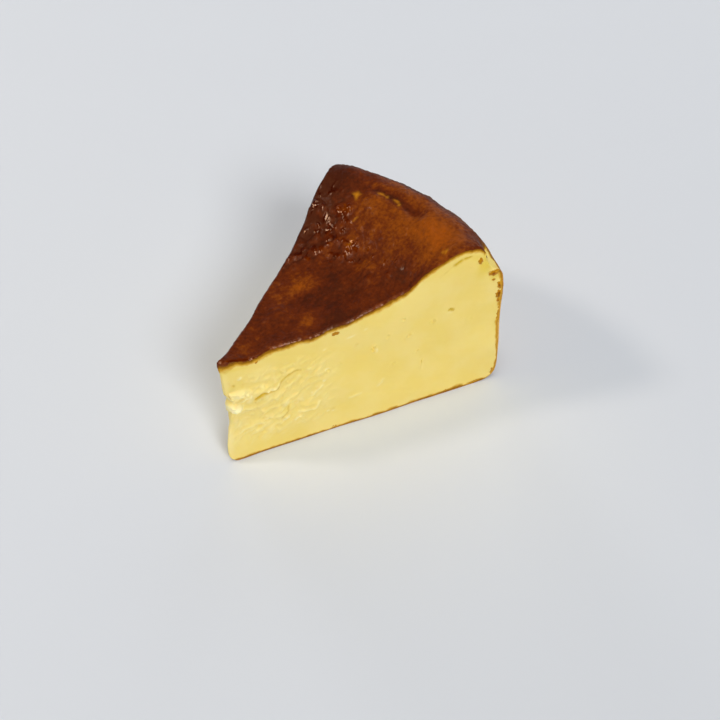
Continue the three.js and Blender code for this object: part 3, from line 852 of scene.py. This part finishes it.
EDGE_ROUND, EDGE_REACH = 0.6, 0.9  # how the crust is rounded towards the cuts
RIM_ROUND, RIM_REACH = 0.45, 0.9  # and the cuts towards the crust
EDGE_POWER = 1.5
EDGE_BEAD, EDGE_BEAD_AT, EDGE_BEAD_REACH = 0.2, 0.9, 0.7  # a low ridge along that edge
TIP_RISE, TIP_RISE_AT, TIP_RISE_REACH = 1.4, 3.0, 4.0  # the crust's raised corner at the tip
CHIP_CRUSTLESS = 0.8  # depth of the chip from which nothing is left of the crust's relief
CHIP_RAGGED = 0.9
TIP_SHIFTS = [  # height, how far the ragged edge of the tip is drawn in, or out below 0
    (0, -0.6), (2, -0.7), (4, -0.8), (8, -0.6), (12, -0.1), (13.5, 0), (15.5, 0.3),
    (17, 0.75), (17.9, 1.1), (23.3, 1.1), (23.9, 0.2), (24.6, -0.3), (26.7, -0.2),
    (27.5, 1), (28, 1.8), (28.9, 1.8), (29.4, 0.9), (31.2, 0.8), (31.7, 0.2),
    (33.5, 0.1), (36, 0.2), (42, 0.2), (44, 0), (46, -0.1), (47.2, 0.4),
]


def finish_surface(plain, moved, side, chip):
    """Adds the fine relief of the cuts, the crust and the wall."""
    x, y, z = plain.T
    radius, angle, outward, front_depth, rear_depth = around(plain)
    under = np.maximum(0, crust_height(radius) - z)
    on_top = side == Slice.CRUST
    on_wall = side == Slice.WALL
    on_cut = ~(on_top | on_wall)
    lifted = smoothstep(z, 0, 1.2)

    # The cuts, and the ragged edge of the tip between them.
    near_front = fade(front_depth, 1.4) * smoothstep(radius, 0.5, 3)
    swell = front_fine(radius, z) * near_front * lifted
    on_front = side == Slice.FRONT
    crumbs = CRUMB_RISE * spots(*jagged(radius, z), CRUMBS)
    swell += on_front * (curl(radius, z) - crack_depth(radius, z) + crumbs)
    moved = moved + FRONT_OUT * swell[:, None]
    shift_heights, shifts = zip(*TIP_SHIFTS)
    drawn_in = np.interp(z + 0.25 * grain(z, y, 1.5, 113), shift_heights, shifts)
    moved[:, 0] += drawn_in * fade(radius, 7)
    near_rear = fade(rear_depth, 1.4) * smoothstep(radius, 0.5, 3)
    moved += REAR_OUT * (rear_fine(radius, z) * near_rear * lifted)[:, None]

    # The crust and the wall, and the rounded edges.
    near_top = fade(np.where(on_wall, 99, under), 1.2)
    near_wall = np.where(on_wall, 1, fade(wall_radius(z) - radius, 1.5)) * (1 - near_top)
    intact = np.clip(1 - chip / CHIP_CRUSTLESS, 0, 1)
    edge = np.minimum(front_depth, rear_depth)
    round_off = np.clip(1 - edge / EDGE_REACH, 0, 1) ** EDGE_POWER
    rounded = TIP_RISE * bell((radius - TIP_RISE_AT) / TIP_RISE_REACH)
    rounded *= lerp(0.3, 1, smoothstep(angle, -HALF_ANGLE, HALF_ANGLE))
    bead = EDGE_BEAD * bell((edge - EDGE_BEAD_AT) / EDGE_BEAD_REACH)
    moved[:, 2] += near_top * (crust_fine(x, y) + rounded + on_top * bead) * intact
    moved[:, 2] -= EDGE_ROUND * np.where(on_top | (on_cut & (under < 0.05)), round_off, 0)
    drawn_in = RIM_ROUND * np.clip(1 - under / RIM_REACH, 0, 1) ** EDGE_POWER
    moved -= FRONT_OUT * np.where(on_front, drawn_in, 0)[:, None]
    moved -= REAR_OUT * np.where(side == Slice.REAR, drawn_in, 0)[:, None]
    clear_of_front = smoothstep(front_depth, 0, 3)
    rise = near_wall * lifted * clear_of_front * wall_fine(angle * CAKE_RADIUS, z)
    moved += outward * rise[:, None]

    ragged = smoothstep(chip, 0.3, 1.2) * grains(radius * 1.3 + z, y - z, 1.8, 111)
    return moved + outward * (CHIP_RAGGED * ragged)[:, None]


# ---------- the mesh in Blender

BAKE_CANVAS = 216  # its width in mm
BAKE_PATCHES = np.array([  # the corner of each side's patch on it, in the order of the sides
    (2, 2), (108, 2), (206, 140), (2, 110), (150, 70), (108, 175),
])


def bake_places(plain, corners, sides):
    """Where each corner of each triangle lies on the bake's canvas, by the side it is on."""
    x, y, z = plain[corners].T
    radius, angle = np.hypot(x, y), np.arctan2(y, x)
    arc_radius, arc_height = up_wall(np.linspace(0, 1, 400))
    arc = np.concatenate([[0], np.cumsum(np.hypot(np.diff(arc_radius), np.diff(arc_height)))])
    up_arc = np.interp(z, arc_height, arc)
    across = np.choose(sides, [radius, radius, y, x, angle * CAKE_RADIUS, x])
    up = np.choose(sides, [z, z, z, y, up_arc, y])
    return (np.stack([across, up], axis=1) + BAKE_PATCHES[sides]) / BAKE_CANVAS


def into_scene(name, data):
    made = bpy.data.objects.new(name, data)
    bpy.context.scene.collection.objects.link(made)
    return made


def make_piece():
    plain, triangles, sides = build_slice()
    side_of = np.full(len(plain), Slice.BASE)
    for side in (Slice.WALL, Slice.CRUST, Slice.NOSE, Slice.REAR, Slice.FRONT):
        side_of[triangles[sides == side].ravel()] = side
    moved, chip = with_relief(plain)
    looks = describe(plain, side_of, chip)
    moved = finish_surface(plain, moved, side_of, chip)
    moved[:, 2] = np.maximum(moved[:, 2], 0)
    moved[:, 0] -= AXIS_TO_MIDDLE

    mesh = bpy.data.meshes.new(NODE + "_mesh")
    mesh.from_pydata((moved * MM).tolist(), [], triangles.tolist())
    mesh.validate()
    for name, values in looks.items():
        attribute = mesh.attributes.new(name, "FLOAT", "POINT")
        attribute.data.foreach_set("value", values.astype(np.float32))
    mesh.uv_layers.new(name="OFBake")
    places = bake_places(plain, triangles.ravel(), np.repeat(sides, 3))
    mesh.uv_layers["OFBake"].uv.foreach_set("vector", places.astype(np.float32).ravel())
    mesh.shade_smooth()
    mesh.set_sharp_from_angle(angle=math.radians(75))

    return into_scene("cheesecake_slice_piece", mesh)


# ---------- material


def linear(*steps):
    """Shares of linear light for a colour that is given in display steps of 0 to 255."""
    shown = [step / 255 for step in steps]
    return (*(s / 12.92 if s <= 0.04045 else ((s + 0.055) / 1.055) ** 2.4 for s in shown), 1)


class Nodes:
    """A short way to add nodes to one material or world and to link them."""

    def __init__(self, owner):
        self.tree = owner.node_tree

    def add(self, kind, inputs=(), **settings):
        node = self.tree.nodes.new(kind)
        for name, value in settings.items():
            setattr(node, name, value)
        for key, value in dict(inputs).items():
            self.put(node.inputs[key], value)
        return node

    def put(self, socket, value):
        if isinstance(value, bpy.types.NodeSocket):
            self.tree.links.new(value, socket)
        else:
            socket.default_value = value

    def number(self, name):
        return self.add("ShaderNodeAttribute", attribute_name=name).outputs["Fac"]

    def math(self, operation, a, b=0.0, c=0.0, clamp=False):
        node = self.add("ShaderNodeMath", {0: a, 1: b, 2: c}, operation=operation,
                        use_clamp=clamp)
        return node.outputs[0]

    def plus(self, a, b):
        return self.math("ADD", a, b)

    def minus(self, a, b):
        return self.math("SUBTRACT", a, b)

    def times(self, a, b):
        return self.math("MULTIPLY", a, b)

    def mapped(self, value, low, high, to_low=0.0, to_high=1.0):
        inputs = {"Value": value, "From Min": low, "From Max": high, "To Min": to_low,
                  "To Max": to_high}
        kind = "SMOOTHSTEP" if to_low < to_high else "LINEAR"
        return self.add("ShaderNodeMapRange", inputs, interpolation_type=kind).outputs[0]

    def noise(self, place, size, detail=3.0, roughness=0.55):
        """Noise of about 0 to 1, with lumps of a size in mm."""
        inputs = {"Vector": place, "Scale": 1 / size, "Detail": detail, "Roughness": roughness}
        return self.add("ShaderNodeTexNoise", inputs).outputs["Fac"]

    def varied(self, value, *noises):
        """The value, with each noise added to it, as a number from -reach to reach."""
        for noise, reach in noises:
            value = self.plus(value, self.mapped(noise, 0.3, 0.7, -reach, reach))
        return value

    def mix(self, share, a, b):
        node = self.add("ShaderNodeMix", data_type="RGBA")
        for key, value in ((0, share), (6, a), (7, b)):
            self.put(node.inputs[key], value)
        return node.outputs[2]

    def ramp(self, share, stops):
        node = self.add("ShaderNodeValToRGB", {"Fac": share})
        band = node.color_ramp
        while len(band.elements) < len(stops):
            band.elements.new(0.5)
        for element, (place, colour) in zip(band.elements, stops):
            element.position, element.color = place, colour
        return node.outputs["Color"]


CRUST_RAMP = [
    (0.0, linear(150, 70, 0)), (0.3, linear(128, 59, 0)), (0.6, linear(93, 30, 0)),
    (0.85, linear(74, 19, 0)), (1.0, linear(62, 14, 1)),
]
WALL_RAMP = [
    (0.0, linear(110, 64, 8)), (0.35, linear(152, 97, 20)), (0.65, linear(198, 144, 60)),
    (1.0, linear(228, 186, 104)),
]
CUSTARD = linear(242, 219, 131)
CUSTARD_DEEP = linear(240, 215, 118)
CUSTARD_PALE_AND_LIT = linear(253, 243, 190)
TORN_YELLOW = linear(234, 206, 84)
GROOVE_SHADE_AND_OLIVE = linear(208, 172, 36)
STAIN_AMBER = linear(184, 124, 2)
STAIN_BROWN = linear(126, 66, 2)
BAND_AMBER = linear(150, 102, 2)
BAND_GOLD = linear(210, 160, 46)
WALL_GOLD = linear(184, 131, 28)
TORN_GOLD = linear(186, 118, 14)
FLOOR_GREY = (0.67, 0.70, 0.745, 1)
WARM_TINT = (1, 0.52, 0.24, 1)
MATTE, SATIN, GLOSSY = 0.72, 0.52, 0.18


def new_material(name):
    material = bpy.data.materials.new(name)
    material.use_nodes = True
    return material, material.node_tree.nodes["Principled BSDF"]


def cheesecake_material():
    material, surface = new_material("cheesecake")
    nodes = Nodes(material)
    place = nodes.add("ShaderNodeTexCoord").outputs["Object"]
    place = nodes.add("ShaderNodeVectorMath", {0: place, 3: 1 / MM}, operation="SCALE").outputs[0]
    skin, wall, torn = (nodes.number(name) for name in ("skin", "wall", "torn"))

    fine = nodes.noise(place, 1.0, 2)
    mottle = nodes.noise(place, 5.0, 5, 0.6)
    speck = nodes.noise(place, 1.6, 3)

    # The crust: amber to mahogany and cloudy, with painted shade in its crease and between its
    # blisters. The wall: tan to brown, with painted shade in its creases.
    tone = nodes.varied(nodes.number("tone"), (mottle, 0.1), (speck, 0.1), (fine, 0.08))
    crust = nodes.mix(torn, nodes.ramp(tone, CRUST_RAMP), TORN_GOLD)
    pale = nodes.varied(nodes.number("pale_toast_and_crease_shade"), (mottle, 0.1), (fine, 0.07))
    outside = nodes.mix(wall, crust, nodes.ramp(pale, WALL_RAMP))

    # The inside: set custard, with stained and crumbly places, painted shade in its cracks and
    # grooves and painted light on its ridges and flakes.
    cloudy = nodes.mapped(nodes.noise(place, 14.0, 3), 0.35, 0.65)
    custard = nodes.mix(cloudy, CUSTARD, CUSTARD_DEEP)
    # Painted light: lighter on ridges, flakes and the tip's edge, partly pale crumbs.
    custard = nodes.mix(nodes.times(nodes.number("pale"), 0.7), custard, CUSTARD_PALE_AND_LIT)
    custard = nodes.mix(torn, custard, TORN_YELLOW)
    dark, stain = nodes.number("dark"), nodes.number("stain")
    # Painted shade in the cracks and grooves, partly olive marks.
    custard = nodes.mix(dark, custard, GROOVE_SHADE_AND_OLIVE)
    spotted = nodes.varied(stain, (speck, 0.3))
    stained = nodes.mix(nodes.mapped(spotted, 0.9, 1.4), STAIN_AMBER, STAIN_BROWN)
    crumbly = nodes.varied(stain, (nodes.noise(place, 0.9, 3), 0.3))
    ragged = nodes.times(nodes.mapped(crumbly, 0.15, 0.35), nodes.mapped(stain, 0.05, 0.2))
    custard = nodes.mix(ragged, custard, stained)

    # From the skin inwards: outside, amber, gold and then custard.
    depth = nodes.varied(skin, (speck, 0.1))
    golden = nodes.times(wall, nodes.mapped(pale, 0.35, 0.75))
    amber = nodes.mix(golden, BAND_AMBER, WALL_GOLD)
    band = nodes.mix(nodes.mapped(depth, 0.15, 0.5), outside, amber)
    band = nodes.mix(nodes.mapped(depth, 0.5, 0.85), band, BAND_GOLD)
    inward = nodes.mapped(depth, 0.75, 1.35)
    colour = nodes.mix(inward, band, custard)

    # Gloss on the blisters and edges of the crust; everything else is matte or satin.
    outermost = nodes.minus(1.0, nodes.mapped(depth, 0.1, 0.5))
    crusty = nodes.times(outermost, nodes.minus(1.0, wall))
    gloss = nodes.times(crusty, nodes.number("gloss"))
    varnish = nodes.varied(nodes.mapped(gloss, 0.03, 0.7, MATTE, GLOSSY), (fine, 0.05))
    satin = nodes.varied(SATIN, (fine, 0.05))
    rough = nodes.math("MULTIPLY_ADD", nodes.minus(satin, varnish), inward, varnish)

    bare = nodes.minus(1.0, inward)
    pebbles = nodes.math("MULTIPLY_ADD", fine, nodes.mapped(bare, 0, 1, 0.35, 2.2),
                         nodes.times(speck, 0.6))
    bump = nodes.add("ShaderNodeBump", {"Height": pebbles, "Strength": 0.4,
                                        "Distance": 0.1 * MM})

    nodes.put(surface.inputs["Base Color"], colour)
    nodes.put(surface.inputs["Roughness"], rough)
    nodes.put(surface.inputs["Normal"], bump.outputs[0])
    nodes.put(surface.inputs["Coat Weight"], nodes.times(gloss, 0.2))
    surface.inputs["Coat Roughness"].default_value = 0.15
    surface.inputs["Specular IOR Level"].default_value = 0.4
    surface.inputs["Specular Tint"].default_value = WARM_TINT
    surface.inputs["Subsurface Radius"].default_value = (1, 0.75, 0.45)
    surface.inputs["Subsurface Scale"].default_value = 0.8 * MM
    clean = nodes.math("SUBTRACT", inward, nodes.plus(stain, dark), clamp=True)
    nodes.put(surface.inputs["Subsurface Weight"], nodes.times(clean, 0.25))
    return material


# ---------- floor, light and camera


def make_floor():
    bpy.ops.mesh.primitive_plane_add(size=12)
    floor = bpy.context.object
    floor.name = "floor"
    material, surface = new_material("floor")
    surface.inputs["Base Color"].default_value = FLOOR_GREY
    surface.inputs["Roughness"].default_value = 0.7
    surface.inputs["Specular IOR Level"].default_value = 0.2
    floor.data.materials.append(material)


def make_lamp(name, towards, distance, size, power, colour=(1, 1, 1)):
    """A soft lamp that shines on the slice, out along a direction from it."""
    lamp = bpy.data.lights.new(name, "AREA")
    lamp.shape, lamp.size, lamp.energy, lamp.color = "DISK", size, power, colour
    shown = into_scene(name, lamp)
    towards = Vector(towards).normalized()
    shown.location = towards * distance + Vector((0, 0, 0.03))
    shown.rotation_euler = towards.to_track_quat("Z", "Y").to_euler()


def make_sky_light(name, towards, width, strength, colour):
    """A soft light that reaches the whole floor evenly; its width is an angle in degrees."""
    light = bpy.data.lights.new(name, "SUN")
    light.angle, light.energy, light.color = math.radians(width), strength, colour
    shown = into_scene(name, light)
    shown.rotation_euler = Vector(towards).to_track_quat("Z", "Y").to_euler()
    return shown


HORIZON, SKY = (0.5, 0.51, 0.53, 1), (0.03, 0.032, 0.036, 1)


def make_light():
    make_sky_light("front light", (-0.28, -0.80, 0.66), 20, 1.88, (1, 0.99, 0.97))
    make_sky_light("overhead light", (-0.05, -0.1, 1.0), 22, 1.1, (0.97, 0.985, 1))
    rear = make_sky_light("rear light", (0.3, 0.85, 0.15), 20, 0.65, (1, 0.97, 0.93))
    rear.visible_glossy = False
    make_lamp("side light", (-0.5, 0.5, 0.72), 1.3, 0.2, 4.0, (1, 0.88, 0.76))
    make_lamp("right light", (0.95, 0.35, 0.4), 1.5, 1.0, 3.0)
    world = bpy.data.worlds.new("world")
    world.use_nodes = True
    nodes = Nodes(world)
    up = nodes.add("ShaderNodeTexCoord").outputs["Generated"]
    height = nodes.add("ShaderNodeSeparateXYZ", {0: up}).outputs["Z"]
    sky = nodes.ramp(height, [(0.0, HORIZON), (0.1, HORIZON), (0.4, SKY)])
    nodes.put(world.node_tree.nodes["Background"].inputs["Color"], sky)
    bpy.context.scene.world = world


AZIMUTH, ELEVATION, ROLL = map(math.radians, (-42.218, 45.967, -3.031))
CAMERA_DISTANCE = 0.49524
LOOKS_AT = Vector((0.01335, 0.0026, 0))


def make_camera():
    camera_data = bpy.data.cameras.new("camera")
    camera_data.sensor_width, camera_data.lens = 36, 68.4
    camera_data.clip_start, camera_data.clip_end = 0.01, 20
    camera = into_scene("camera", camera_data)
    back = Vector((math.sin(AZIMUTH) * math.cos(ELEVATION),
                   -math.cos(AZIMUTH) * math.cos(ELEVATION), math.sin(ELEVATION)))
    level = Vector((math.cos(AZIMUTH), math.sin(AZIMUTH), 0))
    upright = back.cross(level)
    right = math.cos(ROLL) * level + math.sin(ROLL) * upright
    up = -math.sin(ROLL) * level + math.cos(ROLL) * upright
    turn = Matrix((right, up, back)).transposed()
    camera.matrix_world = Matrix.Translation(LOOKS_AT + CAMERA_DISTANCE * back) @ turn.to_4x4()
    bpy.context.scene.camera = camera


piece = make_piece()
piece.data.materials.append(cheesecake_material())
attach(piece, "root")
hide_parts(NODE)
make_floor()
make_light()
make_camera()
bpy.context.scene.view_settings.view_transform = "Standard"
